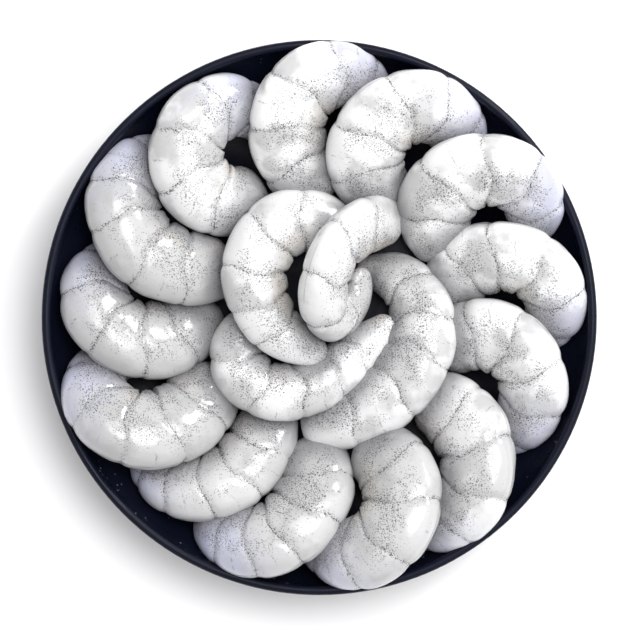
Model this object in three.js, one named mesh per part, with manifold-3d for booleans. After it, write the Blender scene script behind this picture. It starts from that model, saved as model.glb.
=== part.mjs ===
// A shallow dark bowl of peeled raw shrimps: thirteen curled ones overlap in a ring round it
// and four lie across the middle. Millimetres, +Z up, origin on the table under the bowl's middle.
import * as THREE from 'three';
import { mergeVertices } from 'three/addons/utils/BufferGeometryUtils.js';
import Module from 'manifold-3d';

const wasm = await Module();
wasm.setup();

// Bowl
const bowlRadius = 95;
const rimHeight = 31;
const lipWidth = 3;
const floorHeight = 6.5;
const floorRadius = 44;
const undersideHeight = 2.5;
const footRadius = 50;
const footWidth = 5;
const innerSteps = 9;
const outerSteps = 5;
const lipSteps = 4;
const roundSteps = 48;

// Shrimp body. Shares of its length count from the cut head end to the tail tip, shares of its
// thickness from the ring at thickestAt, and angles round it in degrees from the back.
const segmentStarts = [0, 0.16, 0.33, 0.50, 0.65, 0.79];
const thickestAt = 0.28;
const headShare = 0.80;
const tailShare = 0.46;
const tailTaper = 3;
const widthShare = 0.68;
// the rounded ends: a shoulder ring and the tip, in radii beyond the last full ring
const headEnd = { shoulder: 0.34, shoulderSize: 0.66, tip: 0.46 };
const tailEnd = { shoulder: 0.45, shoulderSize: 0.70, tip: 0.75 };
// between two creases a segment swells: over two rings where it is long, over one where short
const longSegment = 0.145;
const longCrowns = [0.35, 0.72];
const shortCrown = [0.5];
const crownSwell = 1.02;
// a crease is shallow over the back, deep at the belly, and swept tailwards on the flanks
const backCrease = 0.03;
const bellyCrease = 0.10;
const creaseSweep = 3.2;
const sweepMiddle = 95;
const sweepReach = 38;
// a shallow groove runs down the belly, which stops short of the middle of its own curl
const grooveFrom = 170;
const grooveShare = 0.93;
const curlClearance = 1;
const bodySides = 12;
const halfSpineSteps = 60;

// Between any two pieces that touch
const gap = 0.3;
const weldDistance = 0.001;

// Each shrimp lies on its side, and these say how. x, y, z: the middle of its body. heading: where
// the head-to-tail way points there, anticlockwise from +X. frontBend, backBend: how far the front
// and back halves curl, anticlockwise above 0. length, girth: along the body and through its
// thickest ring, from back to belly. outLift, sideLift: how far the side away from the bowl's
// middle and the anticlockwise side are tipped up. Angles are in degrees.
const columns = [
  'x', 'y', 'z', 'heading', 'frontBend', 'backBend', 'length', 'girth', 'outLift', 'sideLift',
];

// Clockwise round the bowl from the top, each over the tail of the one before it
const ringRows = [
  [-6.5, 77, 31.5, 51, -90, -175, 78, 27, 20, 15],
  [27.5, 71, 33, 20, -125, -145, 77.5, 28, 20, 20],
  [56.5, 50.5, 35.5, 3, -115, -155, 79, 27.5, 25, 20],
  [73.5, 17.5, 30.5, -34, -95, -175, 77, 25.5, 25, 20],
  [72.5, -18.5, 28, -73, -125, -135, 76.5, 26, 20, 20],
  [53, -57.5, 31, -111, -100, -135, 77.5, 28, 25, 20],
  [23, -75, 35.5, -135, -115, -145, 76, 29, 25, 20],
  [-12, -73.5, 31, -147, -80, -115, 66.5, 28.5, 25, 20],
  [-37.5, -57.5, 25, -168, -70, -130, 68, 26, 15, 20],
  [-65, -37.5, 32.5, 163, -90, -170, 78, 29, 25, 20],
  [-71.5, -3, 28, 138, -95, -175, 75.5, 27.5, 20, 20],
  [-66, 32.5, 30, 110, -80, -155, 78, 28, 15, 20],
  [-44.5, 61.5, 31, 70, -140, -145, 79, 27, 20, 15],
];

// Across the middle, from the lowest to the one on top of all
const middleRows = {
  right: [33, -14, 25.5, 66, 60, 120, 86, 25.5, 20, -5],
  low: [-8, -25, 27.5, 12, 165, 25, 77.5, 20.5, 10, 5],
  left: [-22, 16.5, 31, -97, 125, 80, 76, 23.5, 5, 10],
  top: [2, 14.5, 43.5, -103, 85, 215, 80.5, 21, 10, 55],
};

const flesh = { color: 0xe2e2e4, roughness: 0.22, metalness: 0 };
const glaze = { color: 0x14161f, roughness: 0.28, metalness: 0 };

function quarterEllipse(fromRadius, toRadius, lowHeight, steps) {
  // from level at the bottom to upright at the rim
  const points = [];
  for (let i = 0; i <= steps; i += 1) {
    const angle = (Math.PI / 2) * (i / steps);
    const radius = fromRadius + (toRadius - fromRadius) * Math.sin(angle);
    points.push(new THREE.Vector2(radius, rimHeight - (rimHeight - lowHeight) * Math.cos(angle)));
  }
  return points;
}

function roundLip(extra) {
  // over the rim from its outer edge to its inner one
  const points = [];
  const radius = lipWidth / 2 + extra;
  for (let i = 1; i < lipSteps; i += 1) {
    const angle = Math.PI * (i / lipSteps);
    const across = bowlRadius - lipWidth / 2 + radius * Math.cos(angle);
    points.push(new THREE.Vector2(across, rimHeight + radius * Math.sin(angle)));
  }
  return points;
}

function bowlGeometry() {
  const foot = [
    new THREE.Vector2(0, undersideHeight),
    new THREE.Vector2(footRadius - footWidth, undersideHeight),
    new THREE.Vector2(footRadius - footWidth, 0),
    new THREE.Vector2(footRadius, 0),
  ];
  const outside = quarterEllipse(footRadius, bowlRadius, undersideHeight, outerSteps);
  const inside = quarterEllipse(floorRadius, bowlRadius - lipWidth, floorHeight, innerSteps).reverse();
  const profile = [...foot, ...outside, ...roundLip(0), ...inside, new THREE.Vector2(0, floorHeight)];
  return new THREE.LatheGeometry(profile, roundSteps).rotateX(Math.PI / 2);
}

function wallBlock() {
  // all that the food keeps clear of: the bowl with the gap added, and the space behind its wall
  const outer = 2 * bowlRadius;
  const lip = roundLip(gap).slice(Math.floor(lipSteps / 2) - 1);
  const inside = quarterEllipse(floorRadius, bowlRadius - lipWidth, floorHeight, innerSteps).reverse();
  const profile = [
    new THREE.Vector2(0, -undersideHeight),
    new THREE.Vector2(outer, -undersideHeight),
    new THREE.Vector2(outer, lip[0].y),
    ...lip,
    ...inside.map((point) => new THREE.Vector2(point.x - gap, point.y + gap)),
    new THREE.Vector2(0, floorHeight + gap),
  ];
  return new THREE.LatheGeometry(profile, roundSteps).rotateX(Math.PI / 2);
}

function spineOf(shrimp) {
  // the body's middle line in its own plane, stepped outwards both ways from the middle,
  // where it runs along +X
  const bend = THREE.MathUtils.degToRad((shrimp.frontBend + shrimp.backBend) / 2);
  const uneven = THREE.MathUtils.degToRad((shrimp.backBend - shrimp.frontBend) / 2);
  const step = 1 / halfSpineSteps;
  const reach = shrimp.length / 2;
  const headingAt = (u) => bend * u + uneven * u * u;
  const halves = [-1, 1].map((way) => {
    const points = [new THREE.Vector2()];
    for (let i = 0; i < halfSpineSteps; i += 1) {
      const angle = headingAt(way * (i + 0.5) * step);
      const stride = new THREE.Vector2(Math.cos(angle), Math.sin(angle)).multiplyScalar(way * reach * step);
      points.push(points[i].clone().add(stride));
    }
    return points;
  });
  const line = [...halves[0].reverse(), ...halves[1].slice(1)];
  return (share) => {
    const place = THREE.MathUtils.clamp(share, 0, 1) * 2 * halfSpineSteps;
    const before = Math.min(Math.floor(place), 2 * halfSpineSteps - 1);
    const point = line[before].clone().lerp(line[before + 1], place - before);
    const u = place / halfSpineSteps - 1;
    return { point, angle: headingAt(u), curlRadius: reach / Math.abs(bend + 2 * uneven * u) };
  };
}

function depthAt(share) {
  if (share < thickestAt) {
    return 1 - (1 - headShare) * ((thickestAt - share) / thickestAt) ** 2;
  }
  return 1 - (1 - tailShare) * ((share - thickestAt) / (1 - thickestAt)) ** tailTaper;
}

function bodyRows() {
  // cross rings from the cut head end to the tail tip: a crease where a segment starts,
  // then its crown rings
  const rows = [
    { share: 0, out: -headEnd.tip, scale: 0 },
    { share: 0, out: -headEnd.shoulder, scale: headEnd.shoulderSize },
  ];
  segmentStarts.forEach((start, i) => {
    const length = (segmentStarts[i + 1] ?? 1) - start;
    rows.push({ share: start, scale: 1, crease: i > 0 });
    for (const part of length > longSegment ? longCrowns : shortCrown) {
      rows.push({ share: start + part * length, scale: crownSwell });
    }
  });
  rows.push(
    { share: 1, scale: 1 },
    { share: 1, out: tailEnd.shoulder, scale: tailEnd.shoulderSize },
    { share: 1, out: tailEnd.tip, scale: 0 },
  );
  return rows;
}

function shrimpGeometry(shrimp, swell = 0) {
  // a sphere's grid of vertices laid over the curled body: its poles are the two ends
  const rows = bodyRows();
  const geometry = new THREE.SphereGeometry(1, bodySides, rows.length - 1);
  const spine = spineOf(shrimp);
  const curlSide = Math.sign(shrimp.frontBend + shrimp.backBend);
  const position = geometry.attributes.position;
  for (let i = 0; i < position.count; i += 1) {
    const row = rows[Math.floor(i / (bodySides + 1))];
    const angle = (2 * Math.PI * (i % (bodySides + 1))) / bodySides;
    const around = THREE.MathUtils.radToDeg(Math.acos(Math.cos(angle)));
    const sweep = row.out ? 0 : creaseSweep * Math.exp(-(((around - sweepMiddle) / sweepReach) ** 2));
    const ends = Math.min(row.share, 1 - row.share) / segmentStarts[1];
    const share = row.share + (Math.min(ends, 1) * sweep) / shrimp.length;
    const { point, angle: heading, curlRadius } = spine(share);
    const toBelly = (1 - Math.cos(angle)) / 2;
    const dip = row.crease ? backCrease + (bellyCrease - backCrease) * toBelly : 0;
    const radius = (shrimp.girth / 2) * depthAt(share);
    const size = row.scale * (radius * (1 - dip) + swell);
    const groove = around > grooveFrom ? grooveShare : 1;
    const back = Math.max(size * groove * Math.cos(angle), curlClearance - curlRadius);
    const side = size * widthShare * Math.sin(angle);
    const along = (row.out ?? 0) * radius + Math.sign(row.out ?? 0) * swell;
    const forward = new THREE.Vector2(Math.cos(heading), Math.sin(heading));
    const outward = new THREE.Vector2(forward.y, -forward.x).multiplyScalar(curlSide);
    point.addScaledVector(forward, along).addScaledVector(outward, back);
    position.setXYZ(i, point.x, point.y, curlSide * side);
  }
  return geometry;
}

function placeOf(shrimp) {
  const outward = new THREE.Vector3(shrimp.x, shrimp.y, 0).normalize();
  const round = new THREE.Vector3(-outward.y, outward.x, 0);
  const tip = outward.multiplyScalar(shrimp.sideLift).addScaledVector(round, -shrimp.outLift);
  const tipAngle = THREE.MathUtils.degToRad(tip.length());
  const heading = THREE.MathUtils.degToRad(shrimp.heading);
  const turn = new THREE.Quaternion().setFromAxisAngle(new THREE.Vector3(0, 0, 1), heading);
  const rotation = new THREE.Quaternion().setFromAxisAngle(tip.normalize(), tipAngle).multiply(turn);
  return new THREE.Matrix4().compose(
    new THREE.Vector3(shrimp.x, shrimp.y, shrimp.z), rotation, new THREE.Vector3(1, 1, 1));
}

function solidOf(geometry) {
  geometry.deleteAttribute('normal');
  geometry.deleteAttribute('uv');
  const merged = mergeVertices(geometry, weldDistance);
  const corners = [];
  for (let i = 0; i < merged.index.count; i += 3) {
    const [a, b, c] = [0, 1, 2].map((k) => merged.index.getX(i + k));
    if (a !== b && b !== c && c !== a) {
      corners.push(a, b, c);
    }
  }
  return new wasm.Manifold(new wasm.Mesh({
    numProp: 3,
    vertProperties: new Float32Array(merged.attributes.position.array),
    triVerts: new Uint32Array(corners),
  }));
}

function geometryOf(solid) {
  const mesh = solid.getMesh();
  const geometry = new THREE.BufferGeometry();
  geometry.setAttribute('position', new THREE.BufferAttribute(mesh.vertProperties, 3));
  geometry.setIndex(new THREE.BufferAttribute(mesh.triVerts, 1));
  return geometry;
}

function named(values) {
  return Object.fromEntries(columns.map((column, i) => [column, values[i]]));
}

const ring = ringRows.map((values, i) => (
  { ...named(values), name: `shrimp_ring_${String(i + 1).padStart(2, '0')}` }));
const middle = Object.entries(middleRows).map(([side, values]) => (
  { ...named(values), name: `shrimp_middle_${side}` }));

function liesOver(shrimp) {
  // the shrimps whose weight presses on this one: the next in the ring, those higher in the
  // middle, and for one in the ring all the middle ones
  const inRing = ring.indexOf(shrimp);
  if (inRing < 0) {
    return middle.slice(middle.indexOf(shrimp) + 1);
  }
  return [ring[(inRing + 1) % ring.length], ...middle];
}

const bowlOfShrimps = new THREE.Group();

const bowl = new THREE.Mesh(bowlGeometry(), new THREE.MeshStandardMaterial(glaze));
bowl.name = 'bowl';
bowlOfShrimps.add(bowl);

const wall = solidOf(wallBlock());
for (const shrimp of [...ring, ...middle]) {
  // soft flesh gives way: each is cut back by what presses on it and by the wall it lies against
  const place = placeOf(shrimp);
  let body = solidOf(shrimpGeometry(shrimp).applyMatrix4(place)).subtract(wall);
  for (const upper of liesOver(shrimp)) {
    body = body.subtract(solidOf(shrimpGeometry(upper, gap).applyMatrix4(placeOf(upper))));
  }
  const mesh = new THREE.Mesh(geometryOf(body), new THREE.MeshStandardMaterial(flesh));
  mesh.geometry.applyMatrix4(place.clone().invert());
  mesh.applyMatrix4(place);
  mesh.name = shrimp.name;
  bowlOfShrimps.add(mesh);
}

export default bowlOfShrimps;
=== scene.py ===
import math
import random

import bpy
import numpy as np
from mathutils import Matrix, Vector, noise
from mathutils.bvhtree import BVHTree


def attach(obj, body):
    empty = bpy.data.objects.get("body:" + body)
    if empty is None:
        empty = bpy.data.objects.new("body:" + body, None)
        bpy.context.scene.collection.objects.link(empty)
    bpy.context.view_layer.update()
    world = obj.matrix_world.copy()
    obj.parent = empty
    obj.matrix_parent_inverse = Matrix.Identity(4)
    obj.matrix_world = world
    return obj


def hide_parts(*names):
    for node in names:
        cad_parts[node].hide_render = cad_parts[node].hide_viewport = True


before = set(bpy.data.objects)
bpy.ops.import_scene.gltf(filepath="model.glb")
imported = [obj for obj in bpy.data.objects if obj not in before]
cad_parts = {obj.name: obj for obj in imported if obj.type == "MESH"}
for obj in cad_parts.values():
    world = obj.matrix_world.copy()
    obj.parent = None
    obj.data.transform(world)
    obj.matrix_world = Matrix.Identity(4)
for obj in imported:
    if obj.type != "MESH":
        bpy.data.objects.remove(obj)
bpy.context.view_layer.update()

mm = 0.001
print("frame loaded, nodes:", len(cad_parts))


def onlyThis(thing):
    bpy.ops.object.select_all(action="DESELECT")
    thing.select_set(True)
    bpy.context.view_layer.objects.active = thing


def applyModifiers(thing):
    onlyThis(thing)
    for modifier in list(thing.modifiers):
        bpy.ops.object.modifier_apply(modifier=modifier.name)


def applyPlace(thing):
    onlyThis(thing)
    bpy.ops.object.transform_apply(location=True, rotation=True, scale=True)


def finishPiece(piece, slot, *nodes):
    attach(piece, "root")
    if nodes:
        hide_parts(*nodes)


# the photograph looks straight down
photo = {
    "width": 218.7072 * mm,               # what the square photograph spans at the food
    "centre": (0.25 * mm, -0.85 * mm),    # the point that it is centred on
    "height": 2.6,                        # from the table to the camera
    "foodLevel": 34 * mm,
    "sensor": 36.0,
    "farthest": 20,                       # how far the camera sees
}


def addCamera(values):
    place = (*values["centre"], values["height"])
    bpy.ops.object.camera_add(location=place, rotation=(0, 0, 0))
    camera = bpy.context.active_object
    reach = values["height"] - values["foodLevel"]
    camera.data.sensor_width = values["sensor"]
    camera.data.lens = values["sensor"] * reach / values["width"]
    camera.data.clip_end = values["farthest"]
    bpy.context.scene.camera = camera


# a narrow-beamed softbox at the upper right, aimed past the bowl so that its light falls off
# towards the lower left, a broad one at the right, a small one that draws the sheen on the lip,
# a pale sky all round and a pale floor
studio = {
    "key": {"place": (0.55, 0.95, 2.2), "aim": (0.1, 0.45, 0.0),
            "size": 2.0, "power": 7.2, "spread": 50},
    "fill": {"place": (1.25, -0.05, 1.85), "aim": (0.0, 0.0, 0.0),
             "size": 2.4, "power": 20, "spread": 180},
    "lipLight": {"place": (1.05, 1.05, 0.95), "aim": (0.0, 0.0, 0.0),
                 "size": 0.45, "power": 12, "spread": 180},
    "sky": (0.985, 0.985, 1.0),
    "skyStrength": 0.66,
    "floorSize": 8,
    "floorDim": (0.955, 0.955, 0.96, 1),
    "floorBright": (0.97, 0.97, 0.97, 1),
}


def addSoftbox(name, values):
    place, aim = Vector(values["place"]), Vector(values["aim"])
    bpy.ops.object.light_add(type="AREA", location=place)
    light = bpy.context.active_object
    light.name = name
    light.rotation_euler = (aim - place).to_track_quat("-Z", "Y").to_euler()
    light.data.shape = "SQUARE"
    light.data.size = values["size"]
    light.data.energy = values["power"]
    light.data.spread = math.radians(values["spread"])


def addStudio(values):
    for name in ("key", "fill", "lipLight"):
        addSoftbox(name, values[name])
    world = bpy.data.worlds.new("studio")
    bpy.context.scene.world = world
    world.use_nodes = True
    background = world.node_tree.nodes["Background"]
    background.inputs["Color"].default_value = (*values["sky"], 1)
    background.inputs["Strength"].default_value = values["skyStrength"]
    bpy.context.scene.view_settings.view_transform = "Standard"


class Signal:
    # a node's output, so that maths on it reads as maths
    def __init__(self, paint, socket):
        self.paint = paint
        self.socket = socket

    def __add__(self, other):
        return self.paint.maths("ADD", self, other)

    def __sub__(self, other):
        return self.paint.maths("SUBTRACT", self, other)

    def __mul__(self, other):
        return self.paint.maths("MULTIPLY", self, other)

    def __truediv__(self, other):
        return self.paint.maths("DIVIDE", self, other)

    def __rsub__(self, other):
        return self.paint.maths("SUBTRACT", other, self)

    def __rtruediv__(self, other):
        return self.paint.maths("DIVIDE", other, self)

    __radd__ = __add__
    __rmul__ = __mul__

    def output(self, name):
        # another output of the same node
        return Signal(self.paint, self.socket.node.outputs[name])


class Paint:
    # one material and its nodes
    def __init__(self, name):
        self.material = bpy.data.materials.new(name)
        self.material.use_nodes = True
        self.nodes = self.material.node_tree.nodes
        self.links = self.material.node_tree.links
        self.nodes.clear()

    def node(self, kind, settings, sockets, output=0):
        made = self.nodes.new(kind)
        for key, value in settings.items():
            setattr(made, key, value)
        for key, value in sockets.items():
            if isinstance(value, Signal):
                self.links.new(value.socket, made.inputs[key])
            else:
                made.inputs[key].default_value = value
        return Signal(self, made.outputs[output]) if len(made.outputs) else made

    def maths(self, operation, first, second=0.0):
        return self.node("ShaderNodeMath", {"operation": operation}, {0: first, 1: second})

    def clamped(self, value):
        # kept between 0 and 1
        return self.node("ShaderNodeMath", {"operation": "ADD", "use_clamp": True},
                         {0: value, 1: 0.0})

    def smooth(self, value, low, high):
        # 0 below low, 1 above high
        return self.node("ShaderNodeMapRange", {"interpolation_type": "SMOOTHSTEP"},
                         {0: value, 1: low, 2: high, 3: 0.0, 4: 1.0})

    def mix(self, share, first, second):
        # 6 and 7 are this node's two colours in, and 2 its colour out
        return self.node("ShaderNodeMix", {"data_type": "RGBA"}, {0: share, 6: first, 7: second}, 2)

    def nearest(self, place, marks):
        # how far that place is from the nearest of the marks
        found = None
        for mark in marks:
            away = self.maths("ABSOLUTE", place - mark)
            found = away if found is None else self.maths("MINIMUM", found, away)
        return found

    def cells(self, vector, size):
        # how far the nearest of many scattered points is, in cell sizes, and that point's chance
        nearest = self.node("ShaderNodeTexVoronoi", {"feature": "F1"},
                            {"Vector": vector, "Scale": 1 / size})
        chance = self.node("ShaderNodeSeparateColor", {}, {0: nearest.output("Color")})
        return nearest, chance

    def specks(self, vector, size, radius, share):
        # round specks in that share of the cells, from 0.4 of that radius to all of it
        nearest, chance = self.cells(vector, size)
        grown = self.smooth(share - chance, 0.0, 0.35) * 0.6 + 0.4
        reach = nearest * (size / radius) / grown
        return (1 - self.smooth(reach, 0.55, 1.15)) * self.smooth(share - chance, 0.0, 0.02)

    def clouds(self, vector, scale, detail=2.0, roughness=0.5):
        return self.node("ShaderNodeTexNoise", {}, {
            "Vector": vector, "Scale": scale, "Detail": detail, "Roughness": roughness})

    def bump(self, height, strength, distance):
        return self.node("ShaderNodeBump", {},
                         {"Strength": strength, "Distance": distance, "Height": height})

    def surface(self, constants, varying):
        shader = self.node("ShaderNodeBsdfPrincipled", {}, {**constants, **varying})
        self.node("ShaderNodeOutputMaterial", {}, {"Surface": shader})
        return self.material


fleshLook = {
    "white": (0.84, 0.84, 0.84, 1),
    "clear": (0.40, 0.40, 0.40, 1),              # thinner, glassier flesh
    "lavender": (0.49, 0.505, 0.67, 1),          # towards the tail
    "cream": (0.61, 0.54, 0.45, 1),              # here and there near the belly
    "wet": (0.16, 0.16, 0.17, 1),                # painted shade where another lies on it
    "ink": (0.045, 0.045, 0.05, 1),              # speckles and crease lines
    "bodyLength": 77, "halfRound": 43,           # mm, turn shares into lengths
    "lineWidth": 0.38,                           # mm
    "speck": {"size": 0.50 * mm, "radius": 0.23 * mm},
    "blot": {"size": 0.95 * mm, "radius": 0.31 * mm},
    "lilacReach": (55 * mm, 78 * mm),            # from the middle of the bowl: none, full
    "reliefStrength": 0.45, "reliefDepth": 0.5 * mm,
    # how much ink each mark carries
    "inked": {"speck": 0.71, "blot": 0.80, "line": 0.75, "dash": 0.40, "slit": 0.20},
    # how fine each cloudy pattern is: the higher, the finer
    "grain": {"wander": 230, "fray": 1250, "patch": 85, "drift": 105, "milk": 75, "cream": 48,
              "gloss": 330, "swell": 210, "fine": 700, "jelly": 520},
}


def fleshMaterial(values, body):
    paint = Paint("peeledFlesh")
    grain, inked = values["grain"], values["inked"]
    where = paint.node("ShaderNodeTexCoord", {}, {}, "Object")

    # along is 0 at the head end and 1 at the tail, around is 0 on the back and 1 on the belly, and
    # contact is 1 where another lies on it
    bodyMap = paint.node("ShaderNodeUVMap", {"uv_map": "body"}, {})
    along = paint.node("ShaderNodeSeparateXYZ", {}, {0: bodyMap})
    around = along.output("Y")
    contactMap = paint.node("ShaderNodeUVMap", {"uv_map": "contact"}, {})
    contact = paint.node("ShaderNodeSeparateXYZ", {}, {0: contactMap})
    glassyAndShaded = contact.output("Y")
    outwards = paint.node("ShaderNodeVectorMath", {"operation": "LENGTH"}, {0: where}, "Value")
    wander = paint.clouds(where, grain["wander"], 3.0) - 0.5
    fray = paint.clouds(where, grain["fray"], 1.0)
    patch = paint.clouds(where, grain["patch"])

    # how far, in mm, the nearest crease line is, and the nearest short dash between two of them
    starts = [start * values["bodyLength"] for start in body["segmentStarts"]]
    middles = [(start + after) / 2 for start, after in zip(starts, starts[1:])]
    alongMm = (along + wander * 0.020) * values["bodyLength"]
    toLine = paint.nearest(alongMm, starts)
    toDash = paint.nearest(alongMm, middles)

    # the lines are broken and frayed, the dashes sit on the flank, the slit runs down the back
    nearLine = 1 - paint.smooth(toLine, 0.2, 3.0)
    broken = paint.smooth(patch, 0.38, 0.50) * 0.80 + 0.20
    line = 1 - paint.smooth(toLine + fray * 0.3, 0.10, values["lineWidth"] + 0.10)
    line = line * broken * paint.smooth(fray, 0.42, 0.55)
    onLine = (1 - paint.smooth(toLine, 0.25, 0.80)) * broken
    dash = (1 - paint.smooth(toDash, 0.05, 0.30)) * paint.smooth(fray, 0.47, 0.56)
    dash = dash * (1 - paint.smooth(around, 0.30, 0.46)) * paint.smooth(around, 0.04, 0.10)
    dash = dash * paint.smooth(patch, 0.46, 0.54)
    slit = 1 - paint.smooth(around * values["halfRound"] + wander * 1.2, 0.25, 0.75)
    slit = slit * paint.smooth(patch, 0.42, 0.56)

    # speckles gather on the flank, along the lines and in drifts, least on the back
    flank = paint.smooth(around, 0.14, 0.42)
    drift = paint.smooth(paint.clouds(where, grain["drift"], 3.0), 0.42, 0.60)
    toTail = paint.smooth(along + wander * 0.15, 0.70, 0.98)
    gather = flank * (drift * 0.85 + 0.20) + nearLine * (flank * 0.35 + 0.10)
    gather = gather + onLine * 0.85 + toTail * 0.25 + 0.11
    speck = paint.specks(where, values["speck"]["size"], values["speck"]["radius"], gather)
    blot = paint.specks(where, values["blot"]["size"], values["blot"]["radius"], gather * 0.60)
    ink = speck * inked["speck"] + blot * inked["blot"] + line * inked["line"]
    ink = paint.clamped(ink + dash * inked["dash"] + slit * inked["slit"])

    # milky patches in glassier flesh, more in one segment than in the next
    segment = sum(paint.maths("GREATER_THAN", alongMm, start) for start in starts)
    tone = paint.node("ShaderNodeTexNoise", {"noise_dimensions": "1D"}, {
        "W": segment * 3.7 + glassyAndShaded * 20, "Scale": 1.0, "Detail": 0.0}) - 0.5
    milk = paint.clouds(where, grain["milk"], 3.0) + tone * 0.35
    milky = paint.smooth(milk, 0.39, 0.55) * 0.7 + 0.3
    # partly painted shade: the shrimps at the lower left are set glassier and greyer for the light
    # falling off there
    colour = paint.mix(milky * (1 - glassyAndShaded), values["clear"], values["white"])

    # lavender tails by the wall, cream and grey towards the belly, painted shade where another lies
    # on it
    lilac = paint.smooth(along + wander * 0.2, 0.52, 0.88)
    lilac = lilac * paint.smooth(outwards, *values["lilacReach"])
    creamy = paint.smooth(paint.clouds(where, grain["cream"], 1.0), 0.45, 0.57)
    creamy = creamy * paint.smooth(around, 0.50, 0.80)
    toBelly = paint.smooth(around, 0.45, 0.80)
    colour = paint.mix(lilac * 0.85, colour, values["lavender"])
    colour = paint.mix(creamy * 0.70, colour, values["cream"])
    colour = paint.mix(nearLine * 0.15 + toBelly * 0.35, colour, values["clear"])
    # painted shade: darker the nearer the flesh that lies on it
    colour = paint.mix(paint.smooth(contact, 0.20, 1.0) * 0.82, colour, values["wet"])
    colour = paint.mix(ink, colour, values["ink"])

    # wetter and lumpier in patches towards the belly and the contacts
    jelly = paint.maths("MAXIMUM", toBelly, paint.smooth(contact, 0.3, 0.8))
    jelly = jelly * paint.smooth(patch, 0.38, 0.52)
    rough = paint.clouds(where, grain["gloss"]) * 0.16 + 0.12 - jelly * 0.09
    height = paint.clouds(where, grain["swell"]) * 0.9 + paint.clouds(where, grain["fine"]) * 0.16
    height = height - line * 0.30 - slit * 0.3
    height = height + paint.clouds(where, grain["jelly"], 1.0) * jelly * 1.5
    relief = paint.bump(height, values["reliefStrength"], values["reliefDepth"])
    return paint.surface(
        {"IOR": 1.5, "Subsurface Weight": 0.2, "Subsurface Radius": (0.9, 0.85, 0.8),
         "Subsurface Scale": 1.6 * mm,
         "Coat Weight": 0.35, "Coat Roughness": 0.10, "Coat IOR": 1.5},
        {"Base Color": colour, "Roughness": rough, "Normal": relief})


glazeLook = {
    "dark": (0.003, 0.004, 0.009, 1),
    "worn": (0.006, 0.008, 0.020, 1),
    "pitSize": 2.4 * mm,
    "reliefStrength": 0.16, "reliefDepth": 0.2 * mm,
    "grain": {"mottle": 60, "wet": 38, "fine": 900},
}


def glazeMaterial(values):
    paint = Paint("navyGlaze")
    grain = values["grain"]
    where = paint.node("ShaderNodeTexCoord", {}, {}, "Object")
    mottle = paint.clouds(where, grain["mottle"], 5.0, 0.6)
    pits = paint.smooth(paint.cells(where, values["pitSize"])[0], 0.04, 0.16)
    wet = paint.smooth(paint.clouds(where, grain["wet"]), 0.47, 0.53)
    colour = paint.mix(mottle, values["dark"], values["worn"])
    rough = 0.36 - wet * 0.14 + mottle * 0.10
    height = mottle * 0.4 + pits * 0.3 + paint.clouds(where, grain["fine"]) * 0.2
    relief = paint.bump(height, values["reliefStrength"], values["reliefDepth"])
    return paint.surface({"IOR": 1.22},
                         {"Base Color": colour, "Roughness": rough, "Normal": relief})


def waterMaterial(values):
    paint = Paint("waterDrops")
    where = paint.node("ShaderNodeTexCoord", {}, {}, "Object")
    ripple = paint.clouds(where, values["grain"], 1.0)
    colour = paint.mix(ripple, values["dark"], values["pale"])
    return paint.surface(
        {"IOR": 1.33, "Roughness": 0.03, "Coat Weight": 1.0, "Coat Roughness": 0.02},
        {"Base Color": colour})


def floorMaterial(values):
    paint = Paint("paleFloor")
    where = paint.node("ShaderNodeTexCoord", {}, {}, "Object")
    colour = paint.mix(paint.clouds(where, 3), values["floorDim"], values["floorBright"])
    return paint.surface({"Roughness": 0.8}, {"Base Color": colour})


# the bowl is a disc carried down, out, up, over the lip and in again
bowlSize = {
    "radius": 95 * mm, "rimHeight": 31 * mm, "lipWidth": 3 * mm,
    "floorHeight": 6.5 * mm, "floorRadius": 44 * mm,
    "undersideHeight": 2.5 * mm, "footRadius": 50 * mm, "footWidth": 5 * mm,
    "footEdge": 0.5 * mm,
    "sides": 160, "cutterSides": 96, "wallRings": 26, "lipRings": 12,
    "sharpest": 40,    # degrees: flatter edges than this are shaded smooth
}


def wallCurve(size, fromRadius, toRadius, low):
    # from level at the bottom to upright at the rim
    rings = []
    for i in range(size["wallRings"] + 1):
        turn = math.pi / 2 * i / size["wallRings"]
        rings.append((fromRadius + (toRadius - fromRadius) * math.sin(turn),
                      size["rimHeight"] - (size["rimHeight"] - low) * math.cos(turn)))
    return rings


def lipCurve(size, extra=0.0):
    rings = []
    for i in range(1, size["lipRings"]):
        turn = math.pi * i / size["lipRings"]
        radius = size["lipWidth"] / 2 + extra
        rings.append((size["radius"] - size["lipWidth"] / 2 + radius * math.cos(turn),
                      size["rimHeight"] + radius * math.sin(turn)))
    return rings


def carryDisc(name, sides, rings):
    # the first ring is filled, and each next one is extruded from it and scaled
    (radius, height), *others = rings
    bpy.ops.object.select_all(action="DESELECT")
    bpy.ops.mesh.primitive_circle_add(vertices=sides, radius=radius, fill_type="NGON",
                                      location=(0, 0, height))
    piece = bpy.context.active_object
    piece.name = name
    applyPlace(piece)
    bpy.ops.object.mode_set(mode="EDIT")
    bpy.ops.mesh.select_mode(type="FACE")
    bpy.ops.mesh.select_all(action="SELECT")
    for nextRadius, nextHeight in others:
        rise = (0, 0, nextHeight - height)
        bpy.ops.mesh.extrude_region_move(TRANSFORM_OT_translate={"value": rise})
        share = nextRadius / radius
        bpy.ops.transform.resize(value=(share, share, 1), center_override=(0, 0, nextHeight))
        radius, height = nextRadius, nextHeight
    bpy.ops.mesh.select_all(action="SELECT")
    bpy.ops.mesh.normals_make_consistent(inside=False)
    bpy.ops.object.mode_set(mode="OBJECT")
    return piece


def insideCurve(size):
    return wallCurve(size, size["floorRadius"], size["radius"] - size["lipWidth"],
                     size["floorHeight"])


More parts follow.
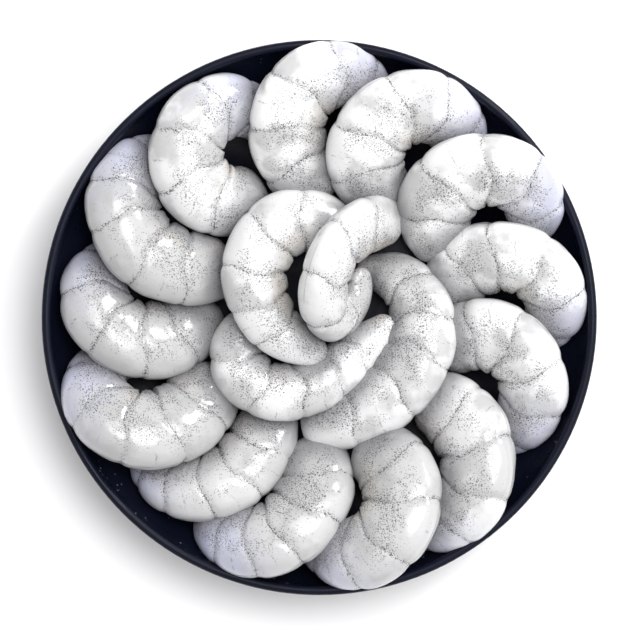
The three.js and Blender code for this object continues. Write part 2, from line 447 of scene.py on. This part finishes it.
def makeBowl(size, material):
    footIn = size["footRadius"] - size["footWidth"]
    edge = size["footEdge"]
    foot = [
        (footIn * 0.5, size["undersideHeight"]),
        (footIn - edge, size["undersideHeight"]),
        (footIn, size["undersideHeight"] - edge),
        (footIn, edge),
        (footIn + edge, 0),
        (size["footRadius"] - edge, 0),
        (size["footRadius"], edge),
    ]
    outside = wallCurve(size, size["footRadius"], size["radius"], size["undersideHeight"])
    floor = (size["floorRadius"] * 0.5, size["floorHeight"])
    rings = foot + outside + lipCurve(size) + insideCurve(size)[::-1] + [floor]
    bowl = carryDisc("bowlGlazed", size["sides"], rings)
    bowl.data.materials.append(material)
    onlyThis(bowl)
    bpy.ops.object.shade_smooth_by_angle(angle=math.radians(size["sharpest"]))
    return bowl


def wallCutter(size, gap):
    # what the food keeps clear of: the bowl with the gap added, and all behind its wall
    far = 2 * size["radius"]
    lip = lipCurve(size, gap)[size["lipRings"] // 2 - 1:]
    inside = [(radius - gap, height + gap) for radius, height in insideCurve(size)[::-1]]
    rings = [(far / 2, -far / 4), (far, -far / 4), (far, lip[0][1]), *lip, *inside,
             (size["floorRadius"] * 0.5, size["floorHeight"] + gap)]
    return carryDisc("wallCutter", size["cutterSides"], rings)


# beads of water on the inside wall, most of them at the lower left
waterBeads = {
    "smallest": 0.22 * mm, "largest": 0.62 * mm,                  # radii
    "flatness": 0.6, "sunk": 0.2, "sides": 12, "rings": 8,
    "lowest": 50, "highest": 86,                                  # degrees up the wall's curve
    "arcs": ((196, 264, 60), (268, 335, 30), (95, 160, 22)),      # from and to in degrees, how many
    "seed": 5, "sharpest": 50,
    "dark": (0.02, 0.024, 0.04, 1), "pale": (0.035, 0.04, 0.06, 1), "grain": 700,
}


def makeWater(values, size, material):
    bpy.ops.object.select_all(action="DESELECT")
    bpy.ops.mesh.primitive_uv_sphere_add(segments=values["sides"], ring_count=values["rings"],
                                         radius=1)
    bead = bpy.context.active_object
    bead.name = "waterBeads"
    bpy.ops.object.mode_set(mode="EDIT")
    bpy.ops.mesh.select_all(action="SELECT")
    bpy.ops.transform.resize(value=(1, 1, values["flatness"]), center_override=(0, 0, 0))
    bpy.ops.mesh.bisect(plane_co=(0, 0, -values["sunk"]), plane_no=(0, 0, 1),
                        use_fill=True, clear_inner=True)
    bpy.ops.mesh.select_all(action="SELECT")
    bpy.ops.mesh.normals_make_consistent(inside=False)
    bpy.ops.object.mode_set(mode="OBJECT")
    bpy.ops.object.shade_smooth_by_angle(angle=math.radians(values["sharpest"]))
    bead.data.materials.append(material)

    chance = random.Random(values["seed"])
    reach = size["radius"] - size["lipWidth"] - size["floorRadius"]
    rise = size["rimHeight"] - size["floorHeight"]
    spare = values["largest"] - values["smallest"]
    beads = []
    for fromAngle, toAngle, count in values["arcs"]:
        for _ in range(count):
            angle = math.radians(chance.uniform(fromAngle, toAngle))
            turn = math.radians(chance.uniform(values["lowest"], values["highest"]))
            radius = values["smallest"] + spare * chance.random() ** 2
            away = Vector((math.cos(angle), math.sin(angle), 0))
            place = away * (size["floorRadius"] + reach * math.sin(turn))
            place.z = size["rimHeight"] - rise * math.cos(turn)
            upright = Vector((0, 0, reach * math.cos(turn))) - away * rise * math.sin(turn)
            copy = bead.copy()
            copy.data = bead.data.copy()
            bpy.context.collection.objects.link(copy)
            turned = upright.to_track_quat("Z", "Y").to_matrix().to_4x4()
            copy.matrix_world = Matrix.Translation(place) @ turned @ Matrix.Scale(radius, 4)
            beads.append(copy)
    bpy.data.objects.remove(bead)
    bpy.ops.object.select_all(action="DESELECT")
    for copy in beads:
        copy.select_set(True)
    bpy.context.view_layer.objects.active = beads[0]
    bpy.ops.object.join()
    water = bpy.context.active_object
    water.name = "waterBeads"
    applyPlace(water)
    return water


# angles round the body are in degrees from the back
shrimpBody = {
    "segmentStarts": (0.16, 0.33, 0.50, 0.65, 0.79),          # shares of the length
    "play": 0.020,                                            # in where each segment starts
    "thickestAt": 0.28, "headShare": 0.80, "tailShare": 0.46,
    "tailTaper": 3, "widthShare": 0.68,
    "sides": 24, "rings": 44, "refine": 2,
    "sweep": 3.2 * mm, "sweepMiddle": 95, "sweepReach": 38,   # the creases' run tailwards
    "backCrease": 0.45 * mm, "bellyCrease": 1.1 * mm,
    "creaseWidth": 1.0 * mm, "bellyCreaseWidth": 1.4 * mm,
    "lobe": 0.36 * mm, "lobeMiddle": 135, "lobeReach": 32,    # swellings beside the belly
    "crown": 0.26 * mm,                                       # swelling all round a segment
    "groove": 0.9 * mm, "grooveReach": 12,                    # along the belly
    "ripple": 0.50 * mm, "rippleSize": 10 * mm,
    "pucker": 0.28 * mm, "puckerSize": 4.2 * mm,
    "plainEnd": 0.10, "plainSweep": 0.16,                     # the shares where relief fades out
    "curlClearance": 1 * mm, "curlSteps": 240,
    "gap": 0.25 * mm,                                         # to what presses on it
    "contactReach": 13 * mm,                                  # of the painted shade and the wetter, lumpier flesh under another
    "sharpest": 50,
}
# the ends, as (radii beyond the last full ring, size): a cut head end and a blunt tail
headEnd = ((0.46, 0.30), (0.42, 0.52), (0.34, 0.70), (0.20, 0.87), (0.08, 0.96))
tailEnd = ((0.15, 0.95), (0.33, 0.83), (0.50, 0.64), (0.65, 0.40), (0.73, 0.20))

# each lies on its side: x, y, z of its middle, the way it points there, how far its front and
# back halves curl, its length and girth, and how far it is tipped up on its outer side and on
# its anticlockwise side, in mm and degrees
shrimpColumns = ("x", "y", "z", "heading", "frontBend", "backBend",
                 "length", "girth", "outLift", "sideLift")
ringShrimps = (
    (-6.5, 77, 31.5, 51, -90, -175, 78, 27, 20, 15),
    (27.5, 71, 33, 20, -125, -145, 77.5, 28, 20, 20),
    (56.5, 50.5, 35.5, 3, -115, -155, 79, 27.5, 25, 20),
    (73.5, 17.5, 30.5, -34, -95, -175, 77, 25.5, 25, 20),
    (72.5, -18.5, 28, -73, -125, -135, 76.5, 26, 20, 20),
    (53, -57.5, 31, -111, -100, -135, 77.5, 28, 25, 20),
    (23, -75, 35.5, -135, -115, -145, 76, 29, 25, 20),
    (-12, -73.5, 31, -147, -80, -115, 66.5, 28.5, 25, 20),
    (-37.5, -57.5, 25, -168, -70, -130, 68, 26, 15, 20),
    (-65, -37.5, 32.5, 163, -90, -170, 78, 29, 25, 20),
    (-71.5, -3, 28, 138, -95, -175, 75.5, 27.5, 20, 20),
    (-66, 32.5, 30, 110, -80, -155, 78, 28, 15, 20),
    (-44.5, 61.5, 31, 70, -140, -145, 79, 27, 20, 15),
)
middleShrimps = {
    "right": (33, -14, 25.5, 66, 60, 120, 86, 25.5, 20, -5),
    "low": (-8, -25, 27.5, 12, 165, 25, 77.5, 20.5, 10, 5),
    "left": (-22, 16.5, 31, -97, 125, 80, 76, 23.5, 5, 10),
    "top": (2, 14.5, 43.5, -103, 85, 215, 80.5, 21, 10, 55),
}

# how glassy each one's flesh is, partly painted shade: greyer at the lower left, where the light
# falls off; 0 is milky, 1 is grey all over
glassinessAndShade = {
    "shrimp_ring_01": 0.0, "shrimp_ring_02": 0.05, "shrimp_ring_03": 0.0, "shrimp_ring_04": 0.0,
    "shrimp_ring_05": 0.20, "shrimp_ring_06": 0.35, "shrimp_ring_07": 0.72, "shrimp_ring_08": 0.73,
    "shrimp_ring_09": 0.65, "shrimp_ring_10": 0.85, "shrimp_ring_11": 0.88, "shrimp_ring_12": 0.85,
    "shrimp_ring_13": 0.33, "shrimp_middle_right": 0.37, "shrimp_middle_low": 0.29,
    "shrimp_middle_left": 0.32, "shrimp_middle_top": 0.40,
}


def shrimpList():
    rows = [(f"shrimp_ring_{i + 1:02d}", row) for i, row in enumerate(ringShrimps)]
    rows += [(f"shrimp_middle_{side}", row) for side, row in middleShrimps.items()]
    shrimps = []
    for seed, (node, row) in enumerate(rows):
        shrimp = dict(zip(shrimpColumns, row))
        for key in ("x", "y", "z", "length", "girth"):
            shrimp[key] *= mm
        for key in ("heading", "frontBend", "backBend", "outLift", "sideLift"):
            shrimp[key] = math.radians(shrimp[key])
        shrimp.update(node=node, seed=seed, inRing="ring" in node)
        shrimps.append(shrimp)
    return shrimps


def depthAt(share, body):
    # thickest a little behind the head end, tapering late to the tail
    peak = body["thickestAt"]
    toHead = (peak - share) / peak
    toTail = np.maximum(share - peak, 0) / (1 - peak)
    before = 1 - (1 - body["headShare"]) * toHead ** 2
    after = 1 - (1 - body["tailShare"]) * toTail ** body["tailTaper"]
    return np.where(share < peak, before, after)


def straightBody(shrimp, body):
    # extruded ring by ring along +X from the head end, the back towards +Y, lying on its side
    half = shrimp["girth"] / 2
    rings = []
    for out, size in headEnd:
        rings.append((-out * half * body["headShare"], size * body["headShare"] * half))
    for i in range(body["rings"] + 1):
        share = i / body["rings"]
        rings.append((share * shrimp["length"], float(depthAt(share, body)) * half))
    for out, size in tailEnd:
        rings.append((shrimp["length"] + out * half * body["tailShare"],
                      size * body["tailShare"] * half))

    (place, radius), *others = rings
    bpy.ops.object.select_all(action="DESELECT")
    bpy.ops.mesh.primitive_circle_add(vertices=body["sides"], radius=radius, fill_type="NGON",
                                      location=(place, 0, 0), rotation=(0, math.pi / 2, 0))
    piece = bpy.context.active_object
    piece.name = shrimp["node"].replace("shrimp_", "peeled_")
    applyPlace(piece)
    bpy.ops.object.mode_set(mode="EDIT")
    bpy.ops.mesh.select_mode(type="FACE")
    bpy.ops.mesh.select_all(action="SELECT")
    for nextPlace, nextRadius in others:
        step = (nextPlace - place, 0, 0)
        bpy.ops.mesh.extrude_region_move(TRANSFORM_OT_translate={"value": step})
        share = nextRadius / radius
        bpy.ops.transform.resize(value=(1, share, share), center_override=(nextPlace, 0, 0))
        place, radius = nextPlace, nextRadius
    bpy.ops.mesh.select_all(action="SELECT")
    bpy.ops.transform.resize(value=(1, 1, body["widthShare"]), center_override=(0, 0, 0))
    bpy.ops.mesh.normals_make_consistent(inside=False)
    bpy.ops.object.mode_set(mode="OBJECT")
    finer = piece.modifiers.new("finer", "SUBSURF")
    finer.levels = finer.render_levels = body["refine"]
    applyModifiers(piece)
    return piece


def bumpAt(distance, width):
    return np.exp(-((distance / width) ** 2))


def readPoints(mesh):
    points = np.empty(3 * len(mesh.vertices))
    mesh.vertices.foreach_get("co", points)
    return points.reshape(-1, 3)


def writePoints(mesh, points):
    mesh.vertices.foreach_set("co", points.ravel())
    mesh.update()


def keepMap(piece, name, first, second):
    # two values for each vertex, as a UV map
    layer = piece.data.uv_layers.new(name=name)
    corners = np.empty(len(piece.data.loops), dtype=np.int64)
    piece.data.loops.foreach_get("vertex_index", corners)
    layer.data.foreach_set("uv", np.stack([first[corners], second[corners]], axis=1).ravel())


def unevenness(points, size, seed):
    # soft noise with bumps of about that size, another for each seed
    shift = Vector((seed * 7.7, 0, 0))
    return np.array([noise.noise(Vector(point) / size + shift) for point in points])


def carveSegments(piece, shrimp, body):
    # swept creases between swelling segments, in the straight body; its places are kept as a
    # UV map, which the speckles and lines follow
    points = readPoints(piece.data)
    length = shrimp["length"]
    x, out, side = points.T
    around = np.degrees(np.arctan2(np.abs(side) / body["widthShare"], out))
    share = np.clip(x / length, 0, 1)

    starts = [start + body["play"] * noise.noise((shrimp["seed"] * 3.1, i * 2.3, 0.5))
              for i, start in enumerate(body["segmentStarts"])]
    edges = np.array([0.0, *starts, 1.0])
    index = np.clip(np.searchsorted(edges, share, side="right") - 1, 0, len(edges) - 2)
    inSegment = (share - edges[index]) / (edges[index + 1] - edges[index])
    toCrease = np.min([np.abs(share - start) for start in starts], axis=0) * length
    depth = depthAt(share, body)
    belly = np.clip((around - 60) / 120, 0, 1) ** 1.5                  # 0 on the back and flank
    creaseDepth = body["backCrease"] * (1 - belly) + body["bellyCrease"] * belly
    creaseWidth = body["creaseWidth"] * (1 - belly) + body["bellyCreaseWidth"] * belly
    swell = np.sin(np.pi * np.clip(inSegment, 0, 1) ** 1.35) ** 0.8    # fullest towards its rear
    lobe = body["lobe"] * swell * bumpAt(around - body["lobeMiddle"], body["lobeReach"])
    crown = body["crown"] * swell
    groove = body["groove"] * bumpAt(around - 180, body["grooveReach"])
    dip = creaseDepth * bumpAt(toCrease, creaseWidth)
    wrinkles = unevenness(points, body["rippleSize"], shrimp["seed"]) * body["ripple"]
    wrinkles += unevenness(points, body["puckerSize"], shrimp["seed"] + 40) * body["pucker"]
    toEnd = np.minimum(share, 1 - share)
    ends = np.clip(toEnd / body["plainEnd"], 0, 1)
    grow = (lobe + crown - dip - groove + wrinkles) * ends * depth
    across = np.hypot(out, side / body["widthShare"])
    scale = 1 + grow / np.maximum(across, 2 * mm)                      # little near the spine
    sweep = body["sweep"] * bumpAt(around - body["sweepMiddle"], body["sweepReach"])
    sweepEnds = np.clip(toEnd / body["plainSweep"], 0, 1)

    # the map holds the body's own places, with the creases at their nominal shares
    nominal = np.array([0.0, *body["segmentStarts"], 1.0])
    mapped = np.interp(share, edges, nominal)
    keepMap(piece, "body", mapped, around / 180)

    points[:, 0] = x + sweep * sweepEnds
    points[:, 1] = out * scale
    points[:, 2] = side * scale
    writePoints(piece.data, points)


def curlBody(piece, shrimp, body):
    # bends the straight body round its spine, whose ends run straight on
    steps = body["curlSteps"]
    bend = (shrimp["frontBend"] + shrimp["backBend"]) / 2
    uneven = (shrimp["backBend"] - shrimp["frontBend"]) / 2
    curlSide = math.copysign(1, bend)
    reach = shrimp["length"] / 2
    u = np.linspace(-1, 1, steps + 1)
    angle = bend * u + uneven * u * u
    middle = (u[1:] + u[:-1]) / 2
    middleAngle = bend * middle + uneven * middle * middle
    stride = reach * 2 / steps
    spine = np.zeros((steps + 1, 2))
    spine[1:, 0] = np.cumsum(np.cos(middleAngle)) * stride
    spine[1:, 1] = np.cumsum(np.sin(middleAngle)) * stride
    spine -= spine[steps // 2]

    points = readPoints(piece.data)
    x, out, side = points.T
    place = np.clip(x / reach - 1, -1, 1)
    heading = np.interp(place, u, angle)
    beyond = x - (place + 1) * reach
    # the belly stays short of the centre that it curls round
    curlRadius = reach / np.abs(bend + 2 * uneven * place)
    out = np.maximum(out, body["curlClearance"] - curlRadius)
    forward = np.stack([np.cos(heading), np.sin(heading)], axis=1)
    outward = np.stack([forward[:, 1], -forward[:, 0]], axis=1) * curlSide
    middleLine = np.stack([np.interp(place, u, spine[:, k]) for k in (0, 1)], axis=1)
    flat = middleLine + forward * beyond[:, None] + outward * out[:, None]
    writePoints(piece.data, np.column_stack([flat, curlSide * side]))


def layDown(piece, shrimp):
    outward = Vector((shrimp["x"], shrimp["y"], 0)).normalized()
    sideways = Vector((-outward.y, outward.x, 0))
    tip = outward * shrimp["sideLift"] - sideways * shrimp["outLift"]
    turn = Matrix.Rotation(shrimp["heading"], 4, "Z")
    turn = Matrix.Rotation(tip.length, 4, tip.normalized()) @ turn
    piece.matrix_world = Matrix.Translation((shrimp["x"], shrimp["y"], shrimp["z"])) @ turn
    applyPlace(piece)


def swollen(piece, extra):
    # a slightly fatter copy, which presses its shape into the one below
    copy = piece.copy()
    copy.data = piece.data.copy()
    bpy.context.collection.objects.link(copy)
    onlyThis(copy)
    bpy.ops.object.mode_set(mode="EDIT")
    bpy.ops.mesh.select_all(action="SELECT")
    bpy.ops.transform.shrink_fatten(value=extra)
    bpy.ops.object.mode_set(mode="OBJECT")
    return copy


def pressInto(piece, cutters):
    for cutter in cutters:
        press = piece.modifiers.new("press", "BOOLEAN")
        press.operation = "DIFFERENCE"
        press.solver = "MANIFOLD"
        press.object = cutter
    applyModifiers(piece)


def keepContacts(shrimp, reach):
    # how near each point is to the flesh that lies on it, which the painted shade and the wetness
    # there follow
    points = readPoints(shrimp["piece"].data)
    near = np.zeros(len(points))
    for upper in shrimp["above"]:
        for i, point in enumerate(points):
            distance = upper["tree"].find_nearest(point, reach)[3]
            if distance is not None:
                near[i] = max(near[i], 1 - distance / reach)
    # each one's glassiness, which at the lower left is partly painted shade
    glassyAndShaded = np.full(len(points), glassinessAndShade[shrimp["node"]])
    keepMap(shrimp["piece"], "contact", near, glassyAndShaded)


def makeShrimps(body, bowl, material):
    shrimps = shrimpList()
    for shrimp in shrimps:
        piece = straightBody(shrimp, body)
        carveSegments(piece, shrimp, body)
        curlBody(piece, shrimp, body)
        layDown(piece, shrimp)
        onlyThis(piece)
        bpy.ops.object.shade_smooth()
        piece.data.materials.append(material)
        shrimp["piece"] = piece
    print("shrimps curled and laid:", len(shrimps))

    ring = [shrimp for shrimp in shrimps if shrimp["inRing"]]
    middle = [shrimp for shrimp in shrimps if not shrimp["inRing"]]
    wall = wallCutter(bowl, body["gap"])
    fat = {shrimp["node"]: swollen(shrimp["piece"], body["gap"]) for shrimp in shrimps}
    for i, shrimp in enumerate(ring):
        shrimp["above"] = [ring[(i + 1) % len(ring)], *middle]
    for i, shrimp in enumerate(middle):
        shrimp["above"] = middle[i + 1:]
    for shrimp in shrimps:
        pressInto(shrimp["piece"], [wall, *[fat[upper["node"]] for upper in shrimp["above"]]])
    for cutter in [wall, *fat.values()]:
        bpy.data.objects.remove(cutter)
    for shrimp in shrimps:
        onlyThis(shrimp["piece"])
        bpy.ops.object.shade_smooth_by_angle(angle=math.radians(body["sharpest"]))
        mesh = shrimp["piece"].data
        faces = [face.vertices for face in mesh.polygons]
        shrimp["tree"] = BVHTree.FromPolygons(readPoints(mesh).tolist(), faces)
    for shrimp in shrimps:
        keepContacts(shrimp, body["contactReach"])
    print("pressed against each other and the bowl")
    return shrimps


addCamera(photo)
addStudio(studio)
bpy.ops.object.select_all(action="DESELECT")
bpy.ops.mesh.primitive_plane_add(size=studio["floorSize"])
floor = bpy.context.active_object
floor.name = "floor"
floor.data.materials.append(floorMaterial(studio))
print("camera, lights and floor in place")

bowlPiece = makeBowl(bowlSize, glazeMaterial(glazeLook))
finishPiece(bowlPiece, "bowl_glaze", "bowl")
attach(makeWater(waterBeads, bowlSize, waterMaterial(waterBeads)), "root")
print("bowl and the water on it done")

for shrimp in makeShrimps(shrimpBody, bowlSize, fleshMaterial(fleshLook, shrimpBody)):
    finishPiece(shrimp["piece"], "shrimp_meat", shrimp["node"])
print("shrimps done")
